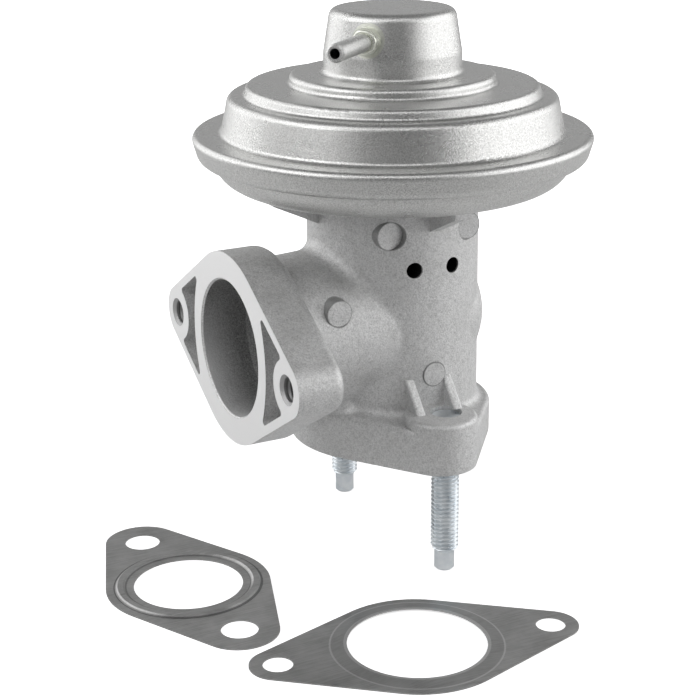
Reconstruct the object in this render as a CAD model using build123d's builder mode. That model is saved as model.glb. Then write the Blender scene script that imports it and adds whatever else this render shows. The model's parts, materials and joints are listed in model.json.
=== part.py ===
"""Vacuum operated exhaust gas recirculation valve with its two flange gaskets, in millimetres.

The origin is the centre of the inlet port on the underside of the base flange. +Z runs up the
valve stem, the outlet port faces -X and the two base studs stand on the Y axis.
"""

import os
from math import atan2, cos, radians, sin, sqrt

from build123d import *

os.makedirs("parts", exist_ok=True)

# Base flange and its two studs
base_thickness = 14.8
base_ring_radius = 29.4
base_ring_shift = -0.7
base_plate_thickness = 11.4
base_plate_fall = 4.0
base_edge_round = 1.4
inlet_bore_radius = 16.15
stud_spacing = 63.0
stud_lug_radius = 10.5
stud_lug_shift = -1.9
stud_radius = 4.0
stud_shank_radius = 4.4
stud_reach = 33.3
stud_dog_radius = 2.9
stud_dog_length = 5.8
stud_end_recess = 0.9
stud_chamfer = 0.5
lug_rib_thickness = 2.7
lug_rib_height = 8.3
lug_rib_offset = 5.9
lug_rib_shift = -1.5
lug_rib_foot = 31.2
lug_rib_sink = 1.0
lug_rib_round = 0.7

# Column of the body
column_head_radius = 24.5
column_foot_radius = 25.0
column_foot_round = 2.5
column_top = 73.9
branch_round = 4.0
gas_chamber_radius = 19.3
gas_chamber_ceiling = 46.0
web_thickness = 6.0
vented_chamber_radius = 18.2
vent_radius = 2.25
vent_spacing = 12.0
vent_rise = 2.8
bowl_rib_reach = 38.0
bowl_rib_thickness = 3.5
bowl_rib_depth = 8.5
bowl_rib_tip = 2.2

# Outlet branch and its flange
outlet_height = 32.5
outlet_reach = 52.0
outlet_bore_radius = 19.5
outlet_mouth_break = 0.5
outlet_thickness = 14.0
outlet_ring_radius = 27.5
outlet_edge_round = 3.0
outlet_bolt_spacing = 75.5
outlet_lug_radius = 7.7
outlet_thread_radius = 3.4
outlet_thread_mouth = 4.25
pocket_ring_wall = 5.2
pocket_boss_wall = 4.8
pocket_rim_wall = 2.5
pocket_arc_radius = 38.0
pocket_corner_round = 1.0
pocket_depth = 7.0
branch_radius = 23.0
branch_rise = 3.0
branch_overrun = 3.8

# Seat, guide and moving stem
seat_height = 9.0
seat_rise = 2.7
seat_step = 0.5
seat_throat_radius = 12.5
seat_land = 1.8
seat_gap = 0.2
poppet_thickness = 4.2
poppet_underlap = 0.5
poppet_edge = 1.2
poppet_hub_radius = 6.0
stem_radius = 3.5
stem_end_radius = 2.5
stem_stub = 1.0
running_clearance = 0.04
guide_radius = 6.5
guide_boss_wall = 2.2
guide_drop = 6.0
guide_nose = 1.0
guide_rise = 2.4
guide_chamfer = 0.5
seal_thickness = 3.0
retainer_thickness = 0.8
retainer_clearance = 0.5
retainer_skirt = 3.0
retainer_bend = 1.2

# Vacuum case
sheet = 1.2
case_gasket_thickness = 0.8
bowl_radius = 51.0
bowl_flat_radius = 42.0
bowl_port_radius = 12.0
rim_overhang = 5.8
rim_draw_in = 2.1
rim_round = 1.6
rim_height = 89.4
lip_gap = 0.9
tuck_gap = 0.6
tuck_round = 2.6
bead_thickness = 3.8
bead_inset = 0.4
cover_foot_radius = 48.3
cover_foot_round = 1.3
shoulder_radius = 46.1
shoulder_round = 2.2
shelf_radius = 41.6
shelf_height = 99.8
shelf_foot_round = 0.9
plateau_radius = 40.8
plateau_height = 102.6
plateau_round = 1.4
ring_radius = 28.8
ring_height = 105.6
ring_foot_round = 1.0
ring_round = 1.5
hat_foot_radius = 19.4
hat_foot_round = 1.5
hat_knee_radius = 19.3
hat_knee_height = 111.5
hat_knee_round = 4.0
hat_top_radius = 17.4
hat_height = 123.4
hat_round = 2.6
nipple_height = 116.6
nipple_azimuth = 220.0
nipple_reach = 40.6
nipple_radius = 2.5
nipple_bore_radius = 1.4
nipple_collar_radius = 3.75
nipple_collar_length = 1.5
nipple_root_round = 0.4
nipple_tip_land = 0.6

# Diaphragm and spring
diaphragm_thickness = 1.2
diaphragm_foot_gap = 11.0
diaphragm_neck_gap = 3.6
diaphragm_bend = 1.9
plate_radius = 34.0
plate_thickness = 1.0
plate_rest_gap = 0.5
piston_gap = 13.6
piston_wall = 8.0
piston_bend = 3.0
nut_flats = 8.0
nut_height = 4.0
nut_corner_radius = 4.48
nut_chamfer = 0.65
washer_radius = 5.5
washer_thickness = 1.0
spring_radius = 13.4
spring_wire_radius = 1.2
spring_turns = 6.5
spring_seat_thickness = 1.0
spring_seat_cup = 4.0
spring_seat_bend = 1.4
spring_seat_root = 0.4
spring_cup_gap = 0.4

# Case screws
screw_count = 4
screw_radius = 2.0
screw_length = 10.0
screw_head_radius = 3.8
screw_head_height = 2.4
clamp_ring_thickness = 0.8
fit_gap = 0.05

# Flat marks left by the die's ejector pins on the front of the casting
ejector_root = 5.0
head_mark_x = 12.3
head_mark_height = 64.7
head_mark_radius = 3.9
foot_mark_height = 23.9
foot_mark_radius = 3.5
branch_mark_x = -28.0
branch_mark_height = 45.0
branch_mark_radius = 3.75
branch_mark_inset = 1.5

# Gaskets, lying in front of the valve on the plane of the stud tips
gasket_sheet = 0.4
gasket_bead_height = 0.6
inlet_gasket_ring_radius = 23.3
inlet_gasket_lug_radius = 10.9
inlet_gasket_hole_radius = 5.1
inlet_bead_radius = 21.1
inlet_bead_width = 2.6
inlet_gasket_x = -69.6
inlet_gasket_y = -7.1
inlet_gasket_turn = 3.6
outlet_gasket_ring_radius = 25.2
outlet_gasket_lug_radius = 7.6
outlet_gasket_hole_radius = 4.0
outlet_bead_width = 4.6
outlet_gasket_x = -29.5
outlet_gasket_y = -67.9
outlet_gasket_turn = 78.4

# Heights that follow from the stack of pieces
seat_top = base_thickness + seat_rise
seat_bottom = seat_top - seat_height
seat_ring_radius = inlet_bore_radius - seat_step
web_top = gas_chamber_ceiling + web_thickness
guide_bottom = gas_chamber_ceiling - guide_drop - guide_nose
guide_top = web_top + guide_rise
seal_top = guide_top + seal_thickness
guide_boss_radius = guide_radius + guide_boss_wall
bowl_bottom = column_top + case_gasket_thickness
bowl_floor = bowl_bottom + sheet
screw_seat = bowl_floor + clamp_ring_thickness
plate_bottom = screw_seat + screw_head_height + plate_rest_gap
diaphragm_bottom = plate_bottom + plate_thickness
piston_bottom = diaphragm_bottom + diaphragm_thickness
piston_floor = piston_bottom + sheet
bead_top = rim_height - sheet
bead_bottom = bead_top - bead_thickness
lip_bottom = bead_bottom - sheet
tuck_bottom = lip_bottom - sheet
hat_ceiling = hat_height - sheet
spring_top = hat_ceiling - spring_seat_thickness
screw_circle = (column_head_radius + vented_chamber_radius) / 2
ground = -stud_reach
lug_rib_top = base_thickness + lug_rib_height
rib_root = (column_head_radius + vented_chamber_radius) / 2
head_mark_y = -sqrt(column_head_radius**2 - head_mark_x**2)
rim_radius = bowl_radius + rim_overhang
rim_tuck = bowl_radius + tuck_gap
diaphragm_neck_radius = bowl_radius - diaphragm_neck_gap
diaphragm_foot_radius = bowl_radius - diaphragm_foot_gap
piston_radius = bowl_radius - piston_gap
lip_radius = rim_radius - sheet - rim_draw_in - lip_gap
bead_radius = lip_radius - bead_inset
spring_cup_radius = spring_radius - spring_wire_radius - spring_cup_gap
nipple_root = hat_top_radius - sheet
nipple_plane = Plane(
    origin=(0, 0, nipple_height),
    x_dir=(0, 0, 1),
    z_dir=(cos(radians(nipple_azimuth)), sin(radians(nipple_azimuth)), 0),
)


def flange_outline(ring, spacing, lug, ring_shift=0.0, lug_shift=0.0):
    """A round flange drawn out to a lug at each end of its local Y axis."""
    with Locations((ring_shift, 0)):
        Circle(ring)
    with Locations((lug_shift, spacing / 2), (lug_shift, -spacing / 2)):
        Circle(lug)
    make_hull()


def write(name, shape):
    """Label a finished piece and write it to its own file."""
    shape.label = name
    export_step(shape, "parts/" + name + ".step")


# Valve body: both flanges first, then the column, the branch and the passages
outlet_plane = Plane(origin=(-outlet_reach, 0, outlet_height), x_dir=(0, 0, 1), z_dir=(-1, 0, 0))
base_fall = (sin(radians(base_plate_fall)), 0, cos(radians(base_plate_fall)))
branch_run = outlet_reach + branch_overrun
branch_slope = atan2(branch_rise, branch_run)
branch_plane = Plane(
    origin=(branch_overrun, 0, outlet_height + branch_rise),
    x_dir=(-cos(branch_slope), 0, -sin(branch_slope)),
    z_dir=(0, 1, 0),
)
branch_length = (branch_run - outlet_thickness / 2) / cos(branch_slope)
base_top = Plane(origin=(0, 0, base_plate_thickness), z_dir=base_fall)
passage_throat = outlet_height - seat_top
passage_end = outlet_reach - gas_chamber_radius

with BuildPart() as base_flange:
    with BuildSketch():
        flange_outline(
            base_ring_radius, stud_spacing, stud_lug_radius, base_ring_shift, stud_lug_shift
        )
    extrude(amount=base_thickness)
    split(bisect_by=base_top, keep=Keep.BOTTOM)
    fillet(base_flange.faces().sort_by(Axis.Z)[-1].edges(), base_edge_round)

with BuildPart() as stud_lugs:
    with BuildSketch():
        with Locations(
            (stud_lug_shift, stud_spacing / 2), (stud_lug_shift, -stud_spacing / 2)
        ):
            Circle(stud_lug_radius)
    extrude(amount=base_thickness)
    fillet(stud_lugs.edges().group_by(Axis.Z)[-1], base_edge_round)

# The wall round the outlet bore is a lens, flatter at its sides than a ring
pocket_arc_shift = pocket_arc_radius - outlet_bore_radius - pocket_ring_wall
with BuildSketch() as bore_wall:
    with Locations((0, pocket_arc_shift)):
        Circle(pocket_arc_radius)
    with Locations((0, -pocket_arc_shift)):
        Circle(pocket_arc_radius, mode=Mode.INTERSECT)

with BuildPart() as outlet_flange:
    with BuildSketch(outlet_plane):
        flange_outline(outlet_ring_radius, outlet_bolt_spacing, outlet_lug_radius)
    extrude(amount=-outlet_thickness)
    fillet(outlet_flange.faces().sort_by(Axis.X)[-1].edges(), outlet_edge_round)
    with BuildSketch(outlet_plane) as pockets:
        flange_outline(
            outlet_ring_radius - pocket_rim_wall,
            outlet_bolt_spacing,
            outlet_lug_radius - pocket_rim_wall,
        )
        add(bore_wall.sketch, mode=Mode.SUBTRACT)
        with Locations((0, outlet_bolt_spacing / 2), (0, -outlet_bolt_spacing / 2)):
            Circle(outlet_thread_radius + pocket_boss_wall, mode=Mode.SUBTRACT)
        fillet(pockets.vertices(), pocket_corner_round)
    extrude(amount=-pocket_depth, mode=Mode.SUBTRACT)

with BuildPart() as body:
    with BuildSketch(Plane.XZ):
        with BuildLine():
            Polyline(
                (0, 0),
                (column_foot_radius, 0),
                (column_head_radius, column_top),
                (0, column_top),
                close=True,
            )
        make_face()
    revolve(axis=Axis.Z)
    with BuildSketch(branch_plane):
        with BuildLine():
            Line((branch_length, 0), (branch_length, branch_radius))
            Line((branch_length, branch_radius), (0, branch_radius))
            CenterArc((0, 0), branch_radius, 90, 90)
            Line((-branch_radius, 0), (branch_length, 0))
        make_face()
    revolve(axis=Axis(branch_plane.origin, branch_plane.x_dir))
    saddle = body.edges(Select.NEW).filter_by(GeomType.BSPLINE)
    fillet(saddle, branch_round)
    add(base_flange.part)
    column_foot = body.edges(Select.NEW).filter_by(GeomType.ELLIPSE)
    fillet(column_foot.filter_by(lambda edge: edge.length > column_foot_radius), column_foot_round)
    add(stud_lugs.part)
    add(outlet_flange.part)

    # Ribs that brace the stud lugs
    for side in (-1, 1):
        for offset_x in (-lug_rib_offset, lug_rib_offset):
            with BuildPart(mode=Mode.PRIVATE) as lug_rib:
                with BuildSketch(Plane.YZ.offset(lug_rib_shift + offset_x)):
                    with BuildLine():
                        Polyline(
                            (side * rib_root, base_thickness / 2),
                            (side * lug_rib_foot, base_thickness / 2),
                            (side * lug_rib_foot, base_thickness),
                            (side * (column_foot_radius - lug_rib_sink), lug_rib_top),
                            (side * rib_root, lug_rib_top),
                            close=True,
                        )
                    make_face()
                extrude(amount=lug_rib_thickness / 2, both=True)
                crest = lug_rib.faces().sort_by(Axis.Z)[-2:].sort_by(Axis.Y)
                slope = crest[0] if side < 0 else crest[-1]
                fillet(slope.edges().filter_by(Axis.X, reverse=True), lug_rib_round)
            add(lug_rib.part)

    # Gussets that steady the bowl
    for turn in (0, 90, 180, 270):
        spoke = Plane(
            origin=(0, 0, 0),
            x_dir=(cos(radians(turn)), sin(radians(turn)), 0),
            z_dir=(sin(radians(turn)), -cos(radians(turn)), 0),
        )
        with BuildSketch(spoke):
            with BuildLine():
                Polyline(
                    (rib_root, column_top),
                    (bowl_rib_reach, column_top),
                    (bowl_rib_reach, column_top - bowl_rib_tip),
                    (column_head_radius, column_top - bowl_rib_depth),
                    (rib_root, column_top - bowl_rib_depth),
                    close=True,
                )
            make_face()
        extrude(amount=bowl_rib_thickness / 2, both=True)

    # Flat round marks of the die's ejector pins
    for centre, mark_radius in (
        ((-head_mark_x, head_mark_y, head_mark_height), head_mark_radius),
        ((head_mark_x, head_mark_y, head_mark_height), head_mark_radius),
        ((0, -column_foot_radius, foot_mark_height), foot_mark_radius),
        (
            (branch_mark_x, branch_mark_inset - branch_radius, branch_mark_height),
            branch_mark_radius,
        ),
    ):
        face = Plane(origin=centre, x_dir=(1, 0, 0), z_dir=(0, -1, 0))
        with BuildSketch(face):
            Circle(mark_radius)
        extrude(amount=-ejector_root)
        with BuildSketch(face):
            Circle(mark_radius)
        extrude(amount=ejector_root, mode=Mode.SUBTRACT)

    # Gas passage from the inlet to the outlet, with the web that carries the guide
    with BuildSketch(Plane.XY.offset(seat_top)):
        Circle(gas_chamber_radius)
    extrude(amount=gas_chamber_ceiling - seat_top, mode=Mode.SUBTRACT)
    with BuildSketch(Plane.XZ):
        with BuildLine():
            Polyline(
                (-outlet_reach, outlet_height),
                (-outlet_reach, outlet_height + outlet_bore_radius),
                (-outlet_reach + outlet_thickness, outlet_height + outlet_bore_radius),
                (-outlet_reach + passage_end, outlet_height + passage_throat),
                (-gas_chamber_radius / 2, outlet_height + passage_throat),
                (-gas_chamber_radius / 2, outlet_height),
                close=True,
            )
        make_face()
    revolve(axis=Axis((0, 0, outlet_height), (1, 0, 0)), mode=Mode.SUBTRACT)
    with BuildSketch():
        Circle(inlet_bore_radius)
    extrude(amount=seat_bottom, mode=Mode.SUBTRACT)
    with BuildSketch():
        Circle(seat_ring_radius)
    extrude(amount=seat_top, mode=Mode.SUBTRACT)

    # Vented chamber under the bowl
    with BuildSketch(Plane.XY.offset(web_top)):
        Circle(vented_chamber_radius)
    extrude(amount=column_top - web_top, mode=Mode.SUBTRACT)
    with BuildSketch(Plane.XZ):
        with Locations(
            (-vent_spacing / 2, web_top + vent_rise), (vent_spacing / 2, web_top + vent_rise)
        ):
            Circle(vent_radius)
    extrude(amount=column_foot_radius, mode=Mode.SUBTRACT)

    # Guide boss on both faces of the web
    with BuildSketch(Plane.XY.offset(gas_chamber_ceiling - guide_drop)):
        Circle(guide_boss_radius)
    extrude(amount=seal_top - gas_chamber_ceiling + guide_drop)
    with BuildSketch(Plane.XY.offset(gas_chamber_ceiling - guide_drop)):
        Circle(guide_radius)
    extrude(amount=seal_top - gas_chamber_ceiling + guide_drop, mode=Mode.SUBTRACT)

    boss_edge = body.edges().filter_by(GeomType.CIRCLE).filter_by(
        lambda edge: abs(edge.radius - guide_boss_radius) < 0.01
    )
    chamfer(boss_edge.sort_by(Axis.Z)[-1], retainer_thickness)

    # Stud holes, case screw holes and the tapped holes of the outlet
    with BuildSketch():
        with Locations((0, stud_spacing / 2), (0, -stud_spacing / 2)):
            Circle(stud_shank_radius + fit_gap)
    extrude(amount=base_thickness, mode=Mode.SUBTRACT)
    with BuildSketch(Plane.XY.offset(column_top)):
        with PolarLocations(screw_circle, screw_count, start_angle=180 / screw_count):
            Circle(screw_radius + fit_gap)
    extrude(amount=-screw_length, mode=Mode.SUBTRACT)
    with BuildSketch(outlet_plane):
        with Locations((0, outlet_bolt_spacing / 2), (0, -outlet_bolt_spacing / 2)):
            Circle(outlet_thread_radius)
    extrude(amount=-outlet_thickness, mode=Mode.SUBTRACT)
    mouths = body.edges().filter_by(GeomType.CIRCLE).filter_by_position(
        Axis.X, -outlet_reach - 0.01, -outlet_reach + 0.01
    )
    tapped = mouths.filter_by(lambda edge: abs(edge.radius - outlet_thread_radius) < 0.01)
    port = mouths.filter_by(lambda edge: abs(edge.radius - outlet_bore_radius) < 0.01)
    chamfer(tapped, outlet_thread_mouth - outlet_thread_radius)
    chamfer(port, outlet_mouth_break)
write("valve_body", body.part)

# Seat ring, pressed into the top of the inlet bore
with BuildPart() as seat:
    with BuildSketch(Plane.XZ):
        with BuildLine():
            Polyline(
                (seat_throat_radius, seat_bottom),
                (seat_ring_radius, seat_bottom),
                (seat_ring_radius, seat_top),
                (seat_throat_radius + seat_land, seat_top),
                (seat_throat_radius, seat_top - seat_land),
                close=True,
            )
        make_face()
    revolve(axis=Axis.Z)
write("valve_seat", seat.part)

# Stem guide, its packing and the cap that holds the packing
with BuildPart() as guide:
    with BuildSketch(Plane.XY.offset(guide_bottom)):
        Circle(guide_radius)
        Circle(stem_radius + running_clearance, mode=Mode.SUBTRACT)
    extrude(amount=guide_top - guide_bottom)
    chamfer(guide.edges().filter_by(GeomType.CIRCLE).sort_by(Axis.Z)[0], guide_chamfer)
write("guide_bush", guide.part)

with BuildPart() as packing:
    with BuildSketch(Plane.XY.offset(guide_top)):
        Circle(guide_radius)
        Circle(stem_radius + running_clearance, mode=Mode.SUBTRACT)
    extrude(amount=seal_thickness)
write("stem_seal", packing.part)

with BuildPart() as retainer:
    with BuildSketch(Plane.XZ):
        with BuildLine():
            FilletPolyline(
                (stem_radius + retainer_clearance, seal_top + retainer_thickness),
                (guide_boss_radius + retainer_thickness, seal_top + retainer_thickness),
                (guide_boss_radius + retainer_thickness, seal_top - retainer_skirt),
                radius=retainer_bend,
            )
            offset(amount=retainer_thickness, side=Side.RIGHT)
        make_face()
    revolve(axis=Axis.Z)
write("seal_retainer", retainer.part)

# Stem and poppet
poppet_rise = seat_gap * 2**0.5
poppet_bottom = seat_top - seat_land + poppet_rise - poppet_underlap
poppet_rim = seat_top + poppet_rise
poppet_top = poppet_rim + poppet_thickness
poppet_radius = seat_throat_radius + seat_land
nut_top = piston_floor + washer_thickness + nut_height
stem_bottom = poppet_bottom - nut_height - stem_stub

with BuildPart() as stem:
    with BuildSketch(Plane.XZ):
        with BuildLine():
            Polyline(
                (0, stem_bottom),
                (stem_end_radius - stem_stub / 2, stem_bottom),
                (stem_end_radius, stem_bottom + stem_stub / 2),
                (stem_end_radius, poppet_top),
                (stem_radius, poppet_top),
                (stem_radius, plate_bottom),
                (stem_end_radius, plate_bottom),
                (stem_end_radius, nut_top + stem_stub / 2),
                (stem_end_radius - stem_stub / 2, nut_top + stem_stub),
                (0, nut_top + stem_stub),
                close=True,
            )
        make_face()
    revolve(axis=Axis.Z)
write("valve_stem", stem.part)

with BuildPart() as poppet:
    with BuildSketch(Plane.XZ):
        with BuildLine():
            Polyline(
                (stem_end_radius + fit_gap, poppet_bottom),
                (seat_throat_radius - poppet_underlap, poppet_bottom),
                (poppet_radius, poppet_rim),
                (poppet_radius, poppet_rim + poppet_edge),
                (poppet_hub_radius + poppet_edge, poppet_rim + 2 * poppet_edge),
                (poppet_hub_radius, poppet_rim + 3 * poppet_edge),
                (poppet_hub_radius, poppet_top),
                (stem_end_radius + fit_gap, poppet_top),
                close=True,
            )
        make_face()
    revolve(axis=Axis.Z)
write("poppet_valve", poppet.part)


def hex_nut(bottom):
    """Plain hexagon nut on the stem's end, chamfered on both faces."""
    with BuildPart() as nut:
        with BuildSketch(Plane.XY.offset(bottom)):
            RegularPolygon(radius=nut_flats / 2, side_count=6, major_radius=False)
            Circle(stem_end_radius + fit_gap, mode=Mode.SUBTRACT)
        extrude(amount=nut_height)
        with BuildSketch(Plane.XZ):
            with BuildLine():
                Polyline(
                    (0, bottom),
                    (nut_flats / 2, bottom),
                    (nut_corner_radius, bottom + nut_chamfer),
                    (nut_corner_radius, bottom + nut_height - nut_chamfer),
                    (nut_flats / 2, bottom + nut_height),
                    (0, bottom + nut_height),
                    close=True,
                )
            make_face()
        revolve(axis=Axis.Z, mode=Mode.INTERSECT)
    return nut.part


write("poppet_nut", hex_nut(poppet_bottom - nut_height))
write("stem_nut", hex_nut(piston_floor + washer_thickness))

with BuildPart() as washer:
    with BuildSketch(Plane.XY.offset(piston_floor)):
        Circle(washer_radius)
        Circle(stem_end_radius + fit_gap, mode=Mode.SUBTRACT)
    extrude(amount=washer_thickness)
write("lock_washer", washer.part)

# Heat insulating gasket, bowl, clamp ring and the screws through them
with BuildPart() as insulator:
    with BuildSketch(Plane.XY.offset(column_top)):
        Circle(column_head_radius)
        Circle(vented_chamber_radius, mode=Mode.SUBTRACT)
        with PolarLocations(screw_circle, screw_count, start_angle=180 / screw_count):
            Circle(screw_radius + fit_gap, mode=Mode.SUBTRACT)
    extrude(amount=case_gasket_thickness)
write("case_gasket", insulator.part)

with BuildPart() as bowl:
    with BuildSketch(Plane.XZ):
        with BuildLine():
            Line((bowl_port_radius, bowl_bottom), (bowl_flat_radius, bowl_bottom))
            TangentArc(
                (bowl_flat_radius, bowl_bottom), (bowl_radius, lip_bottom), tangent=(1, 0)
            )
            Line((bowl_radius, lip_bottom), (lip_radius, lip_bottom))
            offset(amount=sheet, side=Side.LEFT)
        make_face()
    revolve(axis=Axis.Z)
    with BuildSketch(Plane.XY.offset(bowl_bottom)):
        with PolarLocations(screw_circle, screw_count, start_angle=180 / screw_count):
            Circle(screw_radius + fit_gap)
    extrude(amount=sheet, mode=Mode.SUBTRACT)
write("lower_case", bowl.part)

with BuildPart() as clamp_ring:
    with BuildSketch(Plane.XY.offset(bowl_floor)):
        Circle(screw_circle + screw_head_radius)
        Circle(screw_circle - screw_head_radius, mode=Mode.SUBTRACT)
        with PolarLocations(screw_circle, screw_count, start_angle=180 / screw_count):
            Circle(screw_radius + fit_gap, mode=Mode.SUBTRACT)
    extrude(amount=clamp_ring_thickness)
write("clamp_ring", clamp_ring.part)

with BuildPart() as screws:
    with BuildSketch(Plane.XY.offset(screw_seat)):
        with PolarLocations(screw_circle, screw_count, start_angle=180 / screw_count):
            Circle(screw_head_radius)
    extrude(amount=screw_head_height)
    crowns = screws.edges().filter_by(GeomType.CIRCLE).group_by(Axis.Z)[-1]
    fillet(crowns, screw_head_height / 2)
    with BuildSketch(Plane.XY.offset(screw_seat)):
        with PolarLocations(screw_circle, screw_count, start_angle=180 / screw_count):
            Circle(screw_radius)
    extrude(amount=-screw_length)
write("case_screws", screws.part)

# Stepped cover with its rim rolled under the bowl's lip
with BuildPart() as cover:
    with BuildSketch(Plane.XZ):
        with BuildLine():
            FilletPolyline(
                (0, hat_height),
                (hat_top_radius, hat_height),
                (hat_knee_radius, hat_knee_height),
                (hat_foot_radius, ring_height),
                (ring_radius, ring_height),
                (ring_radius, plateau_height),
                (plateau_radius, plateau_height),
                (shelf_radius, shelf_height),
                (shoulder_radius, shelf_height),
                (cover_foot_radius, rim_height),
                (rim_radius, rim_height),
                (rim_radius - rim_draw_in, tuck_bottom),
                (rim_tuck, tuck_bottom),
                radius=[
                    hat_round,
                    hat_knee_round,
                    hat_foot_round,
                    ring_round,
                    ring_foot_round,
                    plateau_round,
                    shelf_foot_round,
                    shoulder_round,
                    cover_foot_round,
                    rim_round,
                    tuck_round,
                ],
            )
            offset(amount=sheet, side=Side.RIGHT)
        make_face()
    revolve(axis=Axis.Z)
    with BuildSketch(nipple_plane):
        Circle(nipple_radius)
    extrude(amount=hat_knee_radius * 2, mode=Mode.SUBTRACT)
write("diaphragm_cover", cover.part)

# Vacuum nipple, seated on the sloping wall of the hat
with BuildPart() as hat_core:
    with BuildSketch(Plane.XZ):
        with BuildLine():
            Polyline(
                (0, hat_knee_height),
                (hat_knee_radius, hat_knee_height),
                (hat_top_radius, hat_height),
                (0, hat_height),
                close=True,
            )
        make_face()
    revolve(axis=Axis.Z)

with BuildPart() as nipple:
    with BuildSketch(nipple_plane.offset(nipple_root)):
        Circle(nipple_collar_radius)
    extrude(amount=hat_knee_radius + nipple_collar_length - nipple_root)
    add(hat_core.part, mode=Mode.SUBTRACT)
    with BuildSketch(nipple_plane.offset(nipple_root)):
        Circle(nipple_radius)
    extrude(amount=nipple_reach - nipple_root)
    rings = nipple.edges().filter_by(GeomType.CIRCLE).filter_by(
        lambda edge: abs(edge.radius - nipple_radius) < 0.01
    )
    rings = rings.sort_by(Axis(nipple_plane.origin, nipple_plane.z_dir))
    fillet(rings[-2], nipple_root_round)
    chamfer(rings[-1], nipple_radius - nipple_bore_radius - nipple_tip_land)
    with BuildSketch(nipple_plane.offset(nipple_root)):
        Circle(nipple_bore_radius)
    extrude(amount=nipple_reach, mode=Mode.SUBTRACT)
write("vacuum_nipple", nipple.part)

# Rolling diaphragm with its bead in the rim, between the plates on the stem
with BuildPart() as diaphragm:
    with BuildSketch(Plane.XZ):
        with BuildLine():
            FilletPolyline(
                (stem_end_radius + fit_gap, diaphragm_bottom + diaphragm_thickness / 2),
                (diaphragm_foot_radius, diaphragm_bottom + diaphragm_thickness / 2),
                (diaphragm_neck_radius, bead_top - diaphragm_thickness),
                (bead_radius, bead_top - diaphragm_thickness),
                radius=diaphragm_bend,
            )
        trace(line_width=diaphragm_thickness)
        with BuildLine():
            Polyline(
                (bowl_radius - sheet / 2, bead_bottom),
                (bead_radius, bead_bottom),
                (bead_radius, bead_top),
                (bowl_radius - sheet / 2, bead_top),
                close=True,
            )
        make_face()
    revolve(axis=Axis.Z)
write("diaphragm", diaphragm.part)

with BuildPart() as plate:
    with BuildSketch(Plane.XY.offset(plate_bottom)):
        Circle(plate_radius)
        Circle(stem_end_radius + fit_gap, mode=Mode.SUBTRACT)
    extrude(amount=plate_thickness)
write("diaphragm_plate", plate.part)

with BuildPart() as piston:
    with BuildSketch(Plane.XZ):
        with BuildLine():
            FilletPolyline(
                (stem_end_radius + fit_gap, piston_bottom),
                (piston_radius, piston_bottom),
                (piston_radius, piston_bottom + piston_wall),
                radius=piston_bend,
            )
            offset(amount=sheet, side=Side.LEFT)
        make_face()
    revolve(axis=Axis.Z)
write("diaphragm_piston", piston.part)

# Return spring with ground ends, and its seat under the top of the hat
with BuildPart() as spring:
    with BuildLine():
        coil = Helix(
            pitch=(spring_top - piston_floor - spring_wire_radius) / spring_turns,
            height=spring_top - piston_floor - spring_wire_radius,
            radius=spring_radius,
            center=(0, 0, piston_floor + spring_wire_radius / 2),
        )
    with BuildSketch(Plane(origin=coil @ 0, z_dir=coil % 0)):
        Circle(spring_wire_radius)
    sweep(is_frenet=True)
    split(bisect_by=Plane.XY.offset(piston_floor), keep=Keep.TOP)
    split(bisect_by=Plane.XY.offset(spring_top), keep=Keep.BOTTOM)
write("return_spring", spring.part)

with BuildPart() as spring_seat:
    with BuildSketch(Plane.XZ):
        with BuildLine():
            FilletPolyline(
                (0, spring_top - spring_seat_cup),
                (spring_cup_radius, spring_top - spring_seat_cup),
                (spring_cup_radius, spring_top),
                (spring_radius + spring_wire_radius, spring_top),
                radius=[spring_seat_bend, spring_seat_root],
            )
            offset(amount=spring_seat_thickness, side=Side.LEFT)
        make_face()
    revolve(axis=Axis.Z)
write("spring_seat", spring_seat.part)


def base_stud(y):
    """Stud pressed up into a lug by its shank, with a plain dog end below its thread."""
    axis_plane = Plane(origin=(0, y, 0), x_dir=(1, 0, 0), z_dir=(0, -1, 0))
    top = base_thickness - stud_end_recess
    thread_end = ground + stud_dog_length
    with BuildPart() as stud:
        with BuildSketch(axis_plane):
            with BuildLine():
                Polyline(
                    (0, ground),
                    (stud_dog_radius - stud_chamfer, ground),
                    (stud_dog_radius, ground + stud_chamfer),
                    (stud_dog_radius, thread_end),
                    (stud_radius, thread_end + stud_radius - stud_dog_radius),
                    (stud_radius, 0),
                    (stud_shank_radius, 0),
                    (stud_shank_radius, top - stud_chamfer),
                    (stud_shank_radius - stud_chamfer, top),
                    (0, top),
                    close=True,
                )
            make_face()
        revolve(axis=Axis((0, y, 0), (0, 0, 1)))
    return stud.part


write("base_stud_front", base_stud(-stud_spacing / 2))
write("base_stud_rear", base_stud(stud_spacing / 2))

# Loose gaskets, each stamped from sheet with a bead round its port
inlet_gasket_plane = Plane(
    origin=(inlet_gasket_x, inlet_gasket_y, ground),
    x_dir=(cos(radians(inlet_gasket_turn)), sin(radians(inlet_gasket_turn)), 0),
    z_dir=(0, 0, 1),
)
outlet_gasket_plane = Plane(
    origin=(outlet_gasket_x, outlet_gasket_y, ground),
    x_dir=(cos(radians(outlet_gasket_turn)), sin(radians(outlet_gasket_turn)), 0),
    z_dir=(0, 0, 1),
)


def gasket_section(plane):
    """Upright plane through the middle of a gasket."""
    return Plane(origin=plane.origin, x_dir=plane.x_dir, z_dir=-plane.y_dir)


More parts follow.
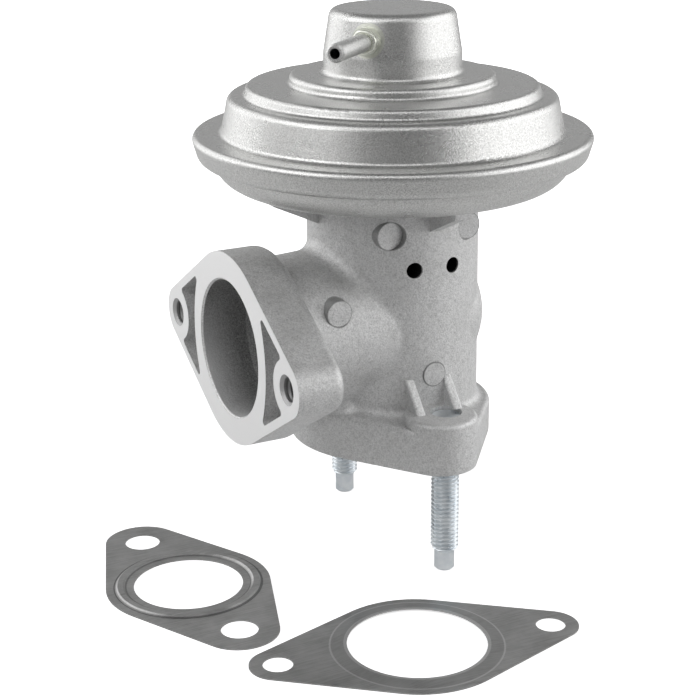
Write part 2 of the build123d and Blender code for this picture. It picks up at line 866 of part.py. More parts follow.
with BuildPart() as inlet_gasket:
    with BuildSketch(inlet_gasket_plane):
        flange_outline(inlet_gasket_ring_radius, stud_spacing, inlet_gasket_lug_radius)
        Circle(inlet_bore_radius, mode=Mode.SUBTRACT)
        with Locations((0, stud_spacing / 2), (0, -stud_spacing / 2)):
            Circle(inlet_gasket_hole_radius, mode=Mode.SUBTRACT)
    extrude(amount=gasket_sheet)
    for low, bead_mode in ((gasket_sheet, Mode.ADD), (0, Mode.SUBTRACT)):
        with BuildSketch(gasket_section(inlet_gasket_plane)):
            with BuildLine():
                Polyline(
                    (inlet_bead_radius - inlet_bead_width / 2, low),
                    (inlet_bead_radius + inlet_bead_width / 2, low),
                    (inlet_bead_radius + inlet_bead_width / 4, low + gasket_bead_height),
                    (inlet_bead_radius - inlet_bead_width / 4, low + gasket_bead_height),
                    close=True,
                )
            make_face()
        revolve(axis=Axis(inlet_gasket_plane.origin, (0, 0, 1)), mode=bead_mode)
write("inlet_gasket", inlet_gasket.part)

with BuildPart() as outlet_gasket:
    bead_outer = outlet_bore_radius + outlet_bead_width
    with BuildSketch(outlet_gasket_plane):
        flange_outline(
            outlet_gasket_ring_radius, outlet_bolt_spacing, outlet_gasket_lug_radius
        )
        Circle(bead_outer, mode=Mode.SUBTRACT)
        with Locations((0, outlet_bolt_spacing / 2), (0, -outlet_bolt_spacing / 2)):
            Circle(outlet_gasket_hole_radius, mode=Mode.SUBTRACT)
    extrude(amount=gasket_sheet)
    with BuildSketch(gasket_section(outlet_gasket_plane)):
        with BuildLine():
            Polyline(
                (outlet_bore_radius, gasket_bead_height),
                (bead_outer, 0),
                (bead_outer, gasket_sheet),
                (outlet_bore_radius, gasket_bead_height + gasket_sheet),
                close=True,
            )
        make_face()
    revolve(axis=Axis(outlet_gasket_plane.origin, (0, 0, 1)))
write("outlet_gasket", outlet_gasket.part)
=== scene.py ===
"""Looks of the exhaust gas recirculation valve and its two gaskets, in metres."""

import json
import math

import bpy
from mathutils import Matrix, Vector
from mathutils.geometry import convex_hull_2d


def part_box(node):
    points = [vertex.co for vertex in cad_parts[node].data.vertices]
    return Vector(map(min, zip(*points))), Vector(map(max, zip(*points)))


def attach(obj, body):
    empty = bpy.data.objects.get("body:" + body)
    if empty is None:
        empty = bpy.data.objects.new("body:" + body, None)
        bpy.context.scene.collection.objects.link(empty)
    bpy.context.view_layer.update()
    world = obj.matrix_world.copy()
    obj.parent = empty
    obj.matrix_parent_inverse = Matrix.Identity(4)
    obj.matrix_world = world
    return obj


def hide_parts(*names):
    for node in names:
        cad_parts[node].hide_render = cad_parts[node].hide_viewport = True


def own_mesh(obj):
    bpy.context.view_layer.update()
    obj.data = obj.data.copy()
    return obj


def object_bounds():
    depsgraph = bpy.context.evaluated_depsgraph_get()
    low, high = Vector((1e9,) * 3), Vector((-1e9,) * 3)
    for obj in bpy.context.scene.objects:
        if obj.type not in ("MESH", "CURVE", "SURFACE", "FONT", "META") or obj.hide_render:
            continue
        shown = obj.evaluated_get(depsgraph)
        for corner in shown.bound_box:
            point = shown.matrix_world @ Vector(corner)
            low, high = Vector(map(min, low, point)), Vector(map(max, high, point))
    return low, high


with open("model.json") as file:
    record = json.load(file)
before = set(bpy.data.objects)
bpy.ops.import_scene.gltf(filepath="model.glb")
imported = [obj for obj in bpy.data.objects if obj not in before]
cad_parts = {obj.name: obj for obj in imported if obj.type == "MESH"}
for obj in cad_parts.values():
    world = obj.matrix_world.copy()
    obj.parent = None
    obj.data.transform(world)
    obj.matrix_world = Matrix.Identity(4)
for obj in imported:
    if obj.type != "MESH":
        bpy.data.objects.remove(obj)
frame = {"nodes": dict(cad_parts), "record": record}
cad_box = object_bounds()
nodes = frame["nodes"]
mounts = {mount["name"]: mount for mount in frame["record"]["mounts"]}
slots = {part["node"]: part["material_slot"] for part in frame["record"]["subparts"]}
joints = {joint["name"]: joint for joint in frame["record"]["behaviour"]["joints"]}

# Places read from the frame
ground = cad_box[0].z
body_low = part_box("valve_body")[0]
outlet_centre = Vector((body_low.x, 0.0, mounts["outlet_port"]["pos_m"][2]))
outlet_bolt_offset = mounts["outlet_bolts"]["dims"]["spacing_x_mm"] / 2000
outlet_bore_radius = mounts["outlet_port"]["dims"]["r_mm"] / 1000
tapped_radius = mounts["outlet_bolts"]["dims"]["hole_r_mm"] / 1000
stud_offset = mounts["base_studs"]["dims"]["pcd_mm"] / 2000
stud_radius = mounts["base_studs"]["dims"]["stud_r_mm"] / 1000
inlet_port_radius = mounts["inlet_port"]["dims"]["r_mm"] / 1000
valve_axis = (0.0, 0.0, 0.0)

nipple = mounts["vacuum_nipple"]
nipple_middle = Vector(nipple["pos_m"])
nipple_way = Vector(nipple["axis"])
nipple_radius = nipple["dims"]["r_mm"] / 1000
nipple_half = nipple["dims"]["length_mm"] / 2000


def middle(node):
    """Centre of a node's box, at the height of its underside."""
    low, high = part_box(node)
    return Vector(((low.x + high.x) / 2, (low.y + high.y) / 2, low.z))


# Gaskets: thickness and bead, then for each the sheet's ring, lug and hole radius,
# its turn about the vertical in degrees, and the radii of its port and bead
gasket_sheet = 0.0004
bead_height = 0.0006
inlet_gasket_centre = middle("inlet_gasket")
inlet_sheet = (0.0233, 0.0109, 0.0051)
inlet_turn = 3.6
inlet_gasket_port = inlet_port_radius - 0.0007
inlet_bead_radius = inlet_gasket_port + 0.0038
inlet_bead_width = 0.0031
outlet_gasket_centre = middle("outlet_gasket")
outlet_sheet = (0.0252, 0.0076, 0.0040)
outlet_turn = 78.4
outlet_gasket_port = outlet_bore_radius - 0.0009
outlet_band_radius = outlet_gasket_port + 0.0045

# Ejector pin marks on the front of the casting: x, z and radius
head_mark_height = 0.0647
ejector_marks = (
    (-0.0123, head_mark_height, 0.0039),
    (0.0123, head_mark_height, 0.0039),
    (0.0, 0.0239, 0.0035),
    (-0.0280, 0.0450, 0.00375),
)

# Painted shade inside the chamber atop the column and in its two air holes, up to just under the skin
vented_radius = 0.0183
vented_floor = 0.0500
air_hole_x = 0.0060
air_hole_z = 0.0548
air_hole_radius = 0.0023
air_hole_depth = 0.0240

# Camera, with its angles in degrees
camera_place = Vector((-0.2250, -0.4107, 0.1864))
camera_azimuth = -27.2
camera_pitch = 70.82
camera_roll = -0.4
camera_lens = 86.66

# Threads: sizes, share of a turn that is flat at the root, and share of both flanks
thread_pitch = 0.00125
thread_depth = 0.00068
thread_root_share = 0.14
thread_flank_share = 0.72
thread_steps = 12

# Meshes: sides of swept pieces, points of a circle, and the angle of a hard edge
sweep_sides = 72
circle_points = 96
hard_edge = math.radians(35)

# Studio: the softboxes' distance and what they aim at, the world's light, and the floor
lamp_distance = 0.8
lamp_aim = Vector((0.0, 0.0, 0.04))
world_light = 0.20
floor_half = 4.0
floor_gap = 0.00002


class Finish:
    """A procedural metal, rubber or fibre finish on one Principled shader."""

    def __init__(self, name, metallic):
        self.material = bpy.data.materials.new(name)
        self.material.use_nodes = True
        self.tree = self.material.node_tree
        self.shader = self.tree.nodes["Principled BSDF"]
        self.shader.inputs["Metallic"].default_value = metallic
        self.place = self.add("ShaderNodeTexCoord").outputs["Object"]
        self.normal = None

    def add(self, kind, **settings):
        """A new shader node with its settings."""
        node = self.tree.nodes.new(kind)
        for name, value in settings.items():
            setattr(node, name, value)
        return node

    def feed(self, socket, value):
        """Links a socket to an input, or sets the input to a value."""
        if isinstance(value, bpy.types.NodeSocket):
            self.tree.links.new(value, socket)
        else:
            socket.default_value = value

    def math(self, operation, a, b=0.0, clamp=False):
        """One sum with two numbers or sockets."""
        node = self.add("ShaderNodeMath", operation=operation, use_clamp=clamp)
        self.feed(node.inputs[0], a)
        self.feed(node.inputs[1], b)
        return node.outputs[0]

    def noise(self, size, detail=2.0, roughness=0.5, place=None):
        """Smooth noise from 0 to 1 with features of about that size in metres."""
        node = self.add("ShaderNodeTexNoise")
        self.feed(node.inputs["Vector"], place or self.place)
        node.inputs["Scale"].default_value = 1.0 / size
        node.inputs["Detail"].default_value = detail
        node.inputs["Roughness"].default_value = roughness
        return node.outputs["Fac"]

    def spread(self, value, low, high):
        """Maps a noise, which mostly lies between 0.3 and 0.7, to a range of values."""
        node = self.add("ShaderNodeMapRange", clamp=True)
        self.feed(node.inputs["Value"], value)
        node.inputs["From Min"].default_value = 0.3
        node.inputs["From Max"].default_value = 0.7
        node.inputs["To Min"].default_value = low
        node.inputs["To Max"].default_value = high
        return node.outputs["Result"]

    def mix(self, share, a, b):
        """One number between two others."""
        node = self.add("ShaderNodeMix", data_type="FLOAT")
        self.feed(node.inputs[0], share)
        self.feed(node.inputs[2], a)
        self.feed(node.inputs[3], b)
        return node.outputs[0]

    def blend(self, share, a, b):
        """One colour between two others, each a colour socket or three numbers."""
        node = self.add("ShaderNodeMix", data_type="RGBA")
        self.feed(node.inputs[0], share)
        self.feed(node.inputs[6], (*a, 1.0) if isinstance(a, tuple) else a)
        self.feed(node.inputs[7], (*b, 1.0) if isinstance(b, tuple) else b)
        return node.outputs[2]

    def split(self):
        """X, Y and Z of the place on the object."""
        node = self.add("ShaderNodeSeparateXYZ")
        self.feed(node.inputs[0], self.place)
        return node.outputs

    def join(self, x, y, z):
        """One vector or colour from three numbers."""
        node = self.add("ShaderNodeCombineXYZ")
        for socket, value in zip(node.inputs, (x, y, z)):
            self.feed(socket, value)
        return node.outputs[0]

    def length(self, x, y):
        """Length of a line with these two sides."""
        squares = self.math("ADD", self.math("MULTIPLY", x, x), self.math("MULTIPLY", y, y))
        return self.math("SQRT", squares)

    def turned(self, stretch=0.02):
        """Coordinates that run fast across a piece turned about the valve's axis, slowly round it."""
        x, y, z = self.split()
        return self.join(
            self.math("ADD", self.length(x, y), self.math("MULTIPLY", x, stretch)),
            z,
            self.math("MULTIPLY", y, stretch),
        )

    def near_axis(self, axis, centre, radius):
        """1 within a radius of a line along X, Y or Z, else 0."""
        across = [i for i in range(3) if i != axis]
        place = self.split()
        squares = []
        for i in across:
            gap = self.math("SUBTRACT", place[i], centre[i])
            squares.append(self.math("MULTIPLY", gap, gap))
        return self.math("LESS_THAN", self.math("ADD", *squares), radius * radius)

    def line(self, axis, centre, radius, width):
        """1 on a thin ring round a line along X, Y or Z, else 0."""
        outer = self.near_axis(axis, centre, radius + width / 2)
        return self.math("SUBTRACT", outer, self.near_axis(axis, centre, radius - width / 2))

    def near_root(self, reach, low, high):
        """1 within a reach of the nipple's axis, from low to high above its root, else 0."""
        place = self.split()
        gaps = [self.math("SUBTRACT", place[i], nipple_middle[i]) for i in range(3)]
        along = self.math(
            "ADD",
            self.math("MULTIPLY", gaps[0], nipple_way.x),
            self.math("MULTIPLY", gaps[1], nipple_way.y),
        )
        squares = [self.math("MULTIPLY", gap, gap) for gap in gaps]
        whole = self.math("ADD", self.math("ADD", squares[0], squares[1]), squares[2])
        across = self.math("SUBTRACT", whole, self.math("MULTIPLY", along, along))
        inside = self.math("LESS_THAN", across, reach * reach)
        inside = self.math("MULTIPLY", inside, self.math("GREATER_THAN", along, low - nipple_half))
        return self.math("MULTIPLY", inside, self.math("LESS_THAN", along, high - nipple_half))

    def bump(self, height, depth):
        """Relief on top of what is there: height from 0 to 1 stands for the depth in metres."""
        node = self.add("ShaderNodeBump")
        self.feed(node.inputs["Height"], height)
        self.feed(node.inputs["Strength"], 1.0)
        self.feed(node.inputs["Distance"], depth)
        if self.normal is not None:
            self.feed(node.inputs["Normal"], self.normal)
        self.normal = node.outputs[0]

    def done(self, colour, roughness):
        """The finished material."""
        self.feed(self.shader.inputs["Base Color"], colour)
        self.feed(self.shader.inputs["Roughness"], roughness)
        if self.normal is not None:
            self.feed(self.shader.inputs["Normal"], self.normal)
        return self.material


def cast_aluminium():
    """Fine sand-like skin of a die casting, with bright machined faces and painted shade and light in
    the bore.

    The bore has painted light from its mouth inwards, most of all at the bottom, and painted shade
    further in.
    """
    face_skin = 0.00003
    mouth_depth = 0.0011
    mouth_reach = tapped_radius + 0.00086
    thread_reach = tapped_radius + 0.00001
    bore_reach = outlet_bore_radius + 0.0001
    bore_start = 0.0006
    bore_end = 0.060
    # How far the painted light reaches into the bore, and how high up its wall
    painted_light_depth = 0.011
    painted_light_height = 0.6
    groove_width = 0.0004
    pit_depth = 0.00009
    grain_depth = 0.00010
    tooling_depth = 0.00001

    f = Finish("cast_aluminium", 1.0)
    x, y, z = f.split()
    machined = f.math("LESS_THAN", x, outlet_centre.x + face_skin)
    machined = f.math("MAXIMUM", machined, f.math("LESS_THAN", z, body_low.z + face_skin))
    depth = f.math("SUBTRACT", x, outlet_centre.x)
    mouth = f.math("LESS_THAN", depth, mouth_depth)
    # Painted shade in the tapped holes: darker on the threads, less dark at the mouths
    threads = 0.0
    painted_mouth_shade = 0.0
    for side in (-1, 1):
        hole = (0.0, side * outlet_bolt_offset, outlet_centre.z)
        around = f.near_axis(0, hole, mouth_reach)
        painted_mouth_shade = f.math("MAXIMUM", painted_mouth_shade, f.math("MULTIPLY", around, mouth))
        threads = f.math("MAXIMUM", threads, f.near_axis(0, hole, thread_reach))
    threads = f.math("MULTIPLY", threads, f.math("SUBTRACT", 1.0, mouth))

    # Painted shade on the cast wall of the outlet bore, with painted light near its mouth, most at the
    # bottom
    inside = f.near_axis(0, outlet_centre, bore_reach)
    inside = f.math("MULTIPLY", inside, f.math("GREATER_THAN", depth, bore_start))
    inside = f.math("MULTIPLY", inside, f.math("LESS_THAN", depth, bore_end))
    painted_bore_light = f.math("SUBTRACT", 1.0, f.math("DIVIDE", depth, painted_light_depth), clamp=True)
    rise = f.math("DIVIDE", f.math("SUBTRACT", z, outlet_centre.z), outlet_bore_radius)
    painted_bore_light = f.math("MULTIPLY", painted_bore_light, f.math("SUBTRACT", painted_light_height, rise, clamp=True))

    # Painted shade inside the chamber and its two air holes
    painted_vent_shade = f.near_axis(2, valve_axis, vented_radius)
    painted_vent_shade = f.math("MULTIPLY", painted_vent_shade, f.math("GREATER_THAN", z, vented_floor))
    under_skin = f.near_axis(2, valve_axis, air_hole_depth)
    for side in (-1, 1):
        hole = f.near_axis(1, (side * air_hole_x, 0.0, air_hole_z), air_hole_radius)
        painted_vent_shade = f.math("MAXIMUM", painted_vent_shade, f.math("MULTIPLY", hole, under_skin))

    grain = f.noise(0.00045, detail=2.0, roughness=0.7)
    pits = f.noise(0.0014, detail=3.0, roughness=0.65)
    cloud = f.noise(0.011, detail=3.0, roughness=0.6)
    skin = f.blend(f.spread(cloud, 0.0, 1.0), (0.72, 0.72, 0.715), (0.87, 0.87, 0.87))
    skin = f.blend(f.spread(grain, 0.75, 0.0), skin, (0.40, 0.40, 0.40))
    skin = f.blend(f.spread(pits, 0.0, 0.35), skin, (0.98, 0.98, 0.98))
    # Painted shade colour for the bore, lightened by painted light near its mouth
    painted_bore_shade = f.blend(f.spread(grain, 0.0, 1.0), (0.24, 0.24, 0.24), (0.56, 0.56, 0.56))
    skin = f.blend(inside, skin, f.blend(painted_bore_light, painted_bore_shade, (0.98, 0.98, 0.98)))
    # Painted shade on the threads and mouths of the tapped holes
    skin = f.blend(threads, skin, (0.34, 0.34, 0.34))
    skin = f.blend(painted_mouth_shade, skin, (0.52, 0.52, 0.52))
    # Near-black painted shade in the chamber and its air holes
    skin = f.blend(painted_vent_shade, skin, (0.06, 0.06, 0.06))

    front = f.math("LESS_THAN", y, 0.0)
    rims = 0.0
    for mark_x, mark_z, mark_radius in ejector_marks:
        ring = f.line(1, (mark_x, 0.0, mark_z), mark_radius, groove_width)
        rims = f.math("MAXIMUM", rims, f.math("MULTIPLY", ring, front))
    skin = f.blend(f.math("MULTIPLY", rims, 0.6), skin, (0.24, 0.24, 0.24))
    colour = f.blend(machined, skin, (0.97, 0.97, 0.97))
    rough = f.mix(machined, f.spread(cloud, 0.58, 0.66), 0.60)
    still = f.math("SUBTRACT", 1.0, machined)
    tooling = f.noise(0.0009, place=f.turned(0.03))
    f.bump(f.math("MULTIPLY", pits, still), pit_depth)
    f.bump(f.math("MULTIPLY", grain, still), grain_depth)
    f.bump(f.math("MULTIPLY", tooling, machined), tooling_depth)
    return f.done(colour, rough)


def plated_case():
    """Drawn sheet under bright tin, with a sparkling grain and a flux stain at the nipple."""
    stain_reach = 0.0047
    stain_low = -0.0040
    stain_high = 0.0007
    f = Finish("plated_case", 1.0)
    grain = f.noise(0.00038, detail=3.0, roughness=0.75)
    cloud = f.noise(0.018, detail=3.0, roughness=0.6)
    rings = f.noise(0.0016, detail=2.0, place=f.turned())
    colour = f.blend(f.spread(grain, 0.0, 1.0), (0.46, 0.46, 0.45), (0.88, 0.88, 0.87))
    stain = f.math("MULTIPLY", f.near_root(stain_reach, stain_low, stain_high), 0.7)
    colour = f.blend(stain, colour, (0.84, 0.86, 0.76))
    rough = f.mix(f.spread(cloud, 0.0, 1.0), 0.25, 0.31)
    f.bump(grain, 0.00008)
    f.bump(rings, 0.00003)
    return f.done(colour, rough)


def bright_zinc():
    """Blue-white zinc on threads and screws."""
    f = Finish("bright_zinc", 1.0)
    cloud = f.noise(0.003, detail=3.0)
    grain = f.noise(0.0003, detail=2.0)
    colour = f.blend(f.spread(cloud, 0.0, 1.0), (0.70, 0.75, 0.79), (0.86, 0.89, 0.91))
    f.bump(grain, 0.00002)
    return f.done(colour, f.spread(cloud, 0.26, 0.38))


def ground_steel(name, colour_low, colour_high, rough_low, rough_high):
    """Steel turned or drawn round the stem's axis."""
    f = Finish(name, 1.0)
    rings = f.noise(0.0005, detail=3.0, place=f.turned())
    colour = f.blend(f.spread(rings, 0.0, 1.0), colour_low, colour_high)
    f.bump(rings, 0.00001)
    return f.done(colour, f.spread(f.noise(0.004), rough_low, rough_high))


def gasket_steel():
    """Rolled stainless sheet with lines along the roll and stains.

    The outlet gasket has painted shade on a band over its pressed ring with painted highlights at its
    edges, the inlet gasket painted shade in dark lines at its bead.
    """
    port_edge = outlet_gasket_port + 0.0004
    outer_groove = inlet_bead_radius + inlet_bead_width / 2
    inner_groove = inlet_bead_radius - inlet_bead_width / 2
    f = Finish("gasket_steel", 1.0)
    x, y, z = f.split()
    rolled = f.join(f.math("MULTIPLY", x, 0.05), y, z)
    lines = f.noise(0.0004, detail=3.0, place=rolled)
    cloud = f.noise(0.010, detail=4.0, roughness=0.65)
    colour = f.blend(f.spread(cloud, 0.0, 1.0), (0.26, 0.26, 0.255), (0.46, 0.46, 0.455))
    colour = f.blend(f.spread(lines, 0.0, 0.6), colour, (0.56, 0.56, 0.56))
    # Painted shade on the band over the outlet gasket's pressed ring
    band = f.near_axis(2, outlet_gasket_centre, outlet_band_radius)
    colour = f.blend(f.math("MULTIPLY", band, 0.30), colour, (0.30, 0.30, 0.30))
    # Painted highlights at the port's edge and at the band's edge
    edge = f.line(2, outlet_gasket_centre, port_edge, 0.0010)
    edge = f.math("MAXIMUM", edge, f.line(2, outlet_gasket_centre, outlet_band_radius, 0.0005))
    colour = f.blend(f.math("MULTIPLY", edge, 0.5), colour, (0.75, 0.75, 0.75))
    # Painted shade in dark lines at the inlet gasket's bead
    painted_groove_shade = f.line(2, inlet_gasket_centre, outer_groove, 0.0007)
    inner = f.line(2, inlet_gasket_centre, inner_groove, 0.0005)
    painted_groove_shade = f.math("MAXIMUM", painted_groove_shade, f.math("MULTIPLY", inner, 0.7))
    colour = f.blend(f.math("MULTIPLY", painted_groove_shade, 0.7), colour, (0.10, 0.10, 0.10))
    f.bump(lines, 0.00002)
    return f.done(colour, f.spread(cloud, 0.30, 0.44))


def moulded(name, low, high, rough, grain_size, depth):
    """Matt rubber, packing or pressed fibre."""
    f = Finish(name, 0.0)
    grain = f.noise(grain_size, detail=3.0)
    colour = f.blend(f.spread(grain, 0.0, 1.0), low, high)
    f.bump(grain, depth)
    return f.done(colour, f.spread(f.noise(0.006), rough, rough + 0.1))


finishes = {
    "cast_aluminium": cast_aluminium(),
    "plated_case": plated_case(),
    "bright_zinc": bright_zinc(),
    "valve_steel": ground_steel("valve_steel", (0.42, 0.42, 0.43), (0.58, 0.58, 0.58), 0.22, 0.34),
    "spring_steel": ground_steel("spring_steel", (0.20, 0.20, 0.21), (0.34, 0.34, 0.35), 0.30, 0.42),
    "guide_bronze": ground_steel("guide_bronze", (0.50, 0.33, 0.14), (0.68, 0.48, 0.24), 0.35, 0.50),
    "gasket_steel": gasket_steel(),
    "diaphragm_rubber": moulded(
        "diaphragm_rubber", (0.02, 0.02, 0.02), (0.04, 0.04, 0.04), 0.6, 0.0006, 0.00004
    ),
    "packing": moulded("packing", (0.04, 0.04, 0.045), (0.09, 0.09, 0.09), 0.55, 0.0004, 0.00004),
    "insulator": moulded("insulator", (0.14, 0.14, 0.13), (0.26, 0.26, 0.25), 0.7, 0.0007, 0.00005),
}

for node_name, node_slot in slots.items():
    node_mesh = nodes[node_name].data
    node_mesh.materials.clear()
    node_mesh.materials.append(finishes[node_slot])


def piece(name, vertices, faces, slot, body="housing"):
    """A smooth mesh in the row frame that rides on a body and takes a slot's finish."""
    mesh = bpy.data.meshes.new(name)
    mesh.from_pydata(vertices, [], faces)
    mesh.shade_smooth()
    mesh.materials.append(finishes[slot])
    made = bpy.data.objects.new(name, mesh)
    bpy.context.scene.collection.objects.link(made)
    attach(made, body)
    return made


def sweep(name, rows, place, slot, closed, capped, body="housing"):
    """Skin over rings of points: each row is a distance along the axis and a radius by turn."""
    vertices, faces = [], []
    for along, radius_at in rows:
        for i in range(sweep_sides):
            turn = 2 * math.pi * i / sweep_sides
            vertices.append(place(along, radius_at(turn), turn))
    starts = [i * sweep_sides for i in range(len(rows))]
    pairs = list(zip(starts, starts[1:]))
    if closed:
        pairs.append((starts[-1], starts[0]))
    for a, b in pairs:
        for i in range(sweep_sides):
            j = (i + 1) % sweep_sides
            faces.append((a + i, a + j, b + j, b + i))
    if capped:
        faces.append(tuple(reversed(range(sweep_sides))))
        faces.append(tuple(range(starts[-1], starts[-1] + sweep_sides)))
    made = piece(name, vertices, faces, slot, body)
    made.data.set_sharp_from_angle(angle=hard_edge)
    return made


def flat(radius):
    """The same radius at every turn."""
    return lambda turn: radius


def thread_ridge(along, turn):
    """0 at the root and 1 at the crest of a thread at a distance along it."""
    phase = (along / thread_pitch - turn / (2 * math.pi)) % 1.0
    flank = abs(phase - 0.5) * 2
    return min(max((flank - thread_root_share) / thread_flank_share, 0.0), 1.0)


def threaded_stud(name, side, node, slot):
    """Stud with a rolled thread, a shank in the casting and a plain dog end."""
    low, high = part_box(node)
    shank = (high.x - low.x) / 2
    dog_radius = 0.0029
    dog_top = low.z + 0.0058
    chamfer = 0.0005
    root = stud_radius - thread_depth

    def crest(height):
        outer = min(stud_radius, dog_radius + height - dog_top)
        return lambda turn: max(
            outer - thread_depth * (1 - thread_ridge(height, turn)), min(outer, root)
        )

    rows = [
        (low.z, flat(dog_radius - chamfer)),
        (low.z + chamfer, flat(dog_radius)),
        (dog_top, flat(dog_radius)),
    ]
    step = thread_pitch / thread_steps
    for i in range(1, int(-dog_top / step) + 1):
        rows.append((dog_top + step * i, crest(dog_top + step * i)))
    rows += [
        (0.0, flat(root)),
        (0.0, flat(shank)),
        (high.z - chamfer, flat(shank)),
        (high.z, flat(shank - chamfer)),
    ]

    def place(along, radius, turn):
        return (radius * math.cos(turn), side * stud_offset + radius * math.sin(turn), along)

    made = sweep(name, rows, place, slot, closed=False, capped=True)
    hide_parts(node)


threaded_stud("front_stud_threaded", -1, "base_stud_front", "bright_zinc")
threaded_stud("rear_stud_threaded", 1, "base_stud_rear", "bright_zinc")


def tapped_thread(name, side):
    """Turns of the thread that show in a tapped hole of the outlet flange."""
    start = 0.0012
    depth = 0.0118
    height = 0.00042
    skin = 0.00002
    wall = tapped_radius - skin

    def crest(along):
        fade = min(along - start, start + depth - along, thread_pitch) / thread_pitch
        return lambda turn: wall - skin - height * fade * thread_ridge(along, turn)

    step = thread_pitch / thread_steps
    rows = [(start + step * i, crest(start + step * i)) for i in range(int(depth / step) + 1)]
    rows += [(rows[-1][0], flat(wall)), (start, flat(wall))]

    def place(along, radius, turn):
        return (
            outlet_centre.x + along,
            side * outlet_bolt_offset + radius * math.cos(turn),
            outlet_centre.z + radius * math.sin(turn),
        )

    sweep(name, rows, place, "cast_aluminium", closed=True, capped=False)


tapped_thread("outlet_thread_left", -1)
tapped_thread("outlet_thread_right", 1)


def round_points(radius):
    """Points of a circle round the origin."""
    turns = [2 * math.pi * i / circle_points for i in range(circle_points)]
    return [Vector((radius * math.cos(turn), radius * math.sin(turn))) for turn in turns]


def gasket(name, node, centre, turn, sheet, spacing, profile):
    """Stamped sheet with round holes, and the raised ring that is pressed round its port."""
    ring, lug, hole = sheet
    body = "loose_" + node
    swing = Matrix.Rotation(math.radians(turn), 2)
    places = [Vector((0.0, i * spacing)) for i in (-1, 0, 1)]
    loops = []
    for place, radius in zip(places, (hole, max(r for r, rise in profile), hole)):
        loops.append([place + point for point in round_points(radius)])
    rim = []
    for place, radius in zip(places, (lug, ring, lug)):
        rim += [place + point for point in round_points(radius)]
    loops.append([rim[i] for i in convex_hull_2d(rim)])
    curve = bpy.data.curves.new(name, "CURVE")
    curve.dimensions = "2D"
    curve.fill_mode = "BOTH"
    curve.extrude = gasket_sheet / 2
    for loop in loops:
        spline = curve.splines.new("POLY")
        spline.points.add(len(loop) - 1)
        for point, spot in zip(spline.points, loop):
            point.co = (*(swing @ spot + centre.to_2d()), 0.0, 1.0)
        spline.use_cyclic_u = True
    outline = bpy.data.objects.new(name, curve)
    flat_mesh = bpy.data.meshes.new_from_object(outline)
    bpy.data.objects.remove(outline)
    level = centre.z + gasket_sheet / 2
    vertices = [(v.co.x, v.co.y, v.co.z + level) for v in flat_mesh.vertices]
    faces = [tuple(polygon.vertices) for polygon in flat_mesh.polygons]
    bpy.data.meshes.remove(flat_mesh)
    bpy.data.curves.remove(curve)
    made = piece(name + "_sheet", vertices, faces, "gasket_steel", body)
    made.data.set_sharp_from_angle(angle=hard_edge)
    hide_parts(node)

    rows = [(rise + gasket_sheet, flat(radius)) for radius, rise in profile]
    rows += [(rise, flat(radius)) for radius, rise in reversed(profile)]

    def place_ring(along, radius, turn):
        return (
            centre.x + radius * math.cos(turn),
            centre.y + radius * math.sin(turn),
            centre.z + along,
        )

    made = sweep(name + "_bead", rows, place_ring, "gasket_steel", closed=True, capped=False, body=body)
    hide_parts(node)


# Radius and rise of each corner of the pressed rings, from the port outwards
inlet_profile = [
    (inlet_gasket_port, 0.0),
    (inlet_bead_radius - inlet_bead_width / 2, 0.0),
    (inlet_bead_radius - inlet_bead_width / 4, bead_height),
    (inlet_bead_radius + inlet_bead_width / 4, bead_height),
    (inlet_bead_radius + inlet_bead_width / 2, 0.0),
    (inlet_bead_radius + inlet_bead_width / 2 + 0.0004, 0.0),
]
outlet_profile = [
    (outlet_gasket_port, bead_height),
    (outlet_gasket_port + 0.0008, bead_height),
    (outlet_band_radius, 0.0),
    (outlet_band_radius + 0.0003, 0.0),
]
gasket(
    "inlet_gasket_stamped",
    "inlet_gasket",
    inlet_gasket_centre,
    inlet_turn,
    inlet_sheet,
    stud_offset,
    inlet_profile,
)
gasket(
    "outlet_gasket_stamped",
    "outlet_gasket",
    outlet_gasket_centre,
    outlet_turn,
    outlet_sheet,
    outlet_bolt_offset,
    outlet_profile,
)


def solder_bead():
    """Lumpy ring of solder where the vacuum nipple enters the hat."""
    ring_radius = nipple_radius + 0.00035
    bead = 0.00062
    root = nipple_middle - nipple_way * nipple_half
    across = Vector((-nipple_way.y, nipple_way.x, 0.0))
    rows = []
    steps = 12
    for i in range(steps):
        swing = 2 * math.pi * i / steps

        def lump(turn, swing=swing):
            size = bead * (1.0 + 0.16 * math.sin(3 * turn + 1.0) + 0.09 * math.sin(7 * turn))
            return ring_radius + size * math.cos(swing)

        rows.append((bead * math.sin(swing), lump))

    def place(along, radius, turn):
        point = root + nipple_way * along + across * (radius * math.cos(turn))
        return (point.x, point.y, point.z + radius * math.sin(turn))

    sweep("nipple_solder", rows, place, "plated_case", closed=True, capped=False)


solder_bead()


def shortening(name, node, fixed_end):
    """A copy of a soft inner node that rides on the housing in its place."""
    made = bpy.data.objects.new(name, nodes[node].data.copy())
    bpy.context.scene.collection.objects.link(made)
    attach(made, "housing")
    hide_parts(node)
    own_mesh(made)


soft_nodes = joints["valve_lift"]["deforming_nodes"]
fixed_ends = {soft["node"]: soft["fixed_end_z_m"] for soft in soft_nodes}
shortening("return_spring_coil", "return_spring", fixed_ends["return_spring"])
shortening("rolling_diaphragm", "diaphragm", fixed_ends["diaphragm"])


def level_way(azimuth):
    """Level direction from the object at an azimuth in degrees: 0 is -Y and 90 is +X."""
    turn = math.radians(azimuth)
    return Vector((math.sin(turn), -math.cos(turn), 0.0))


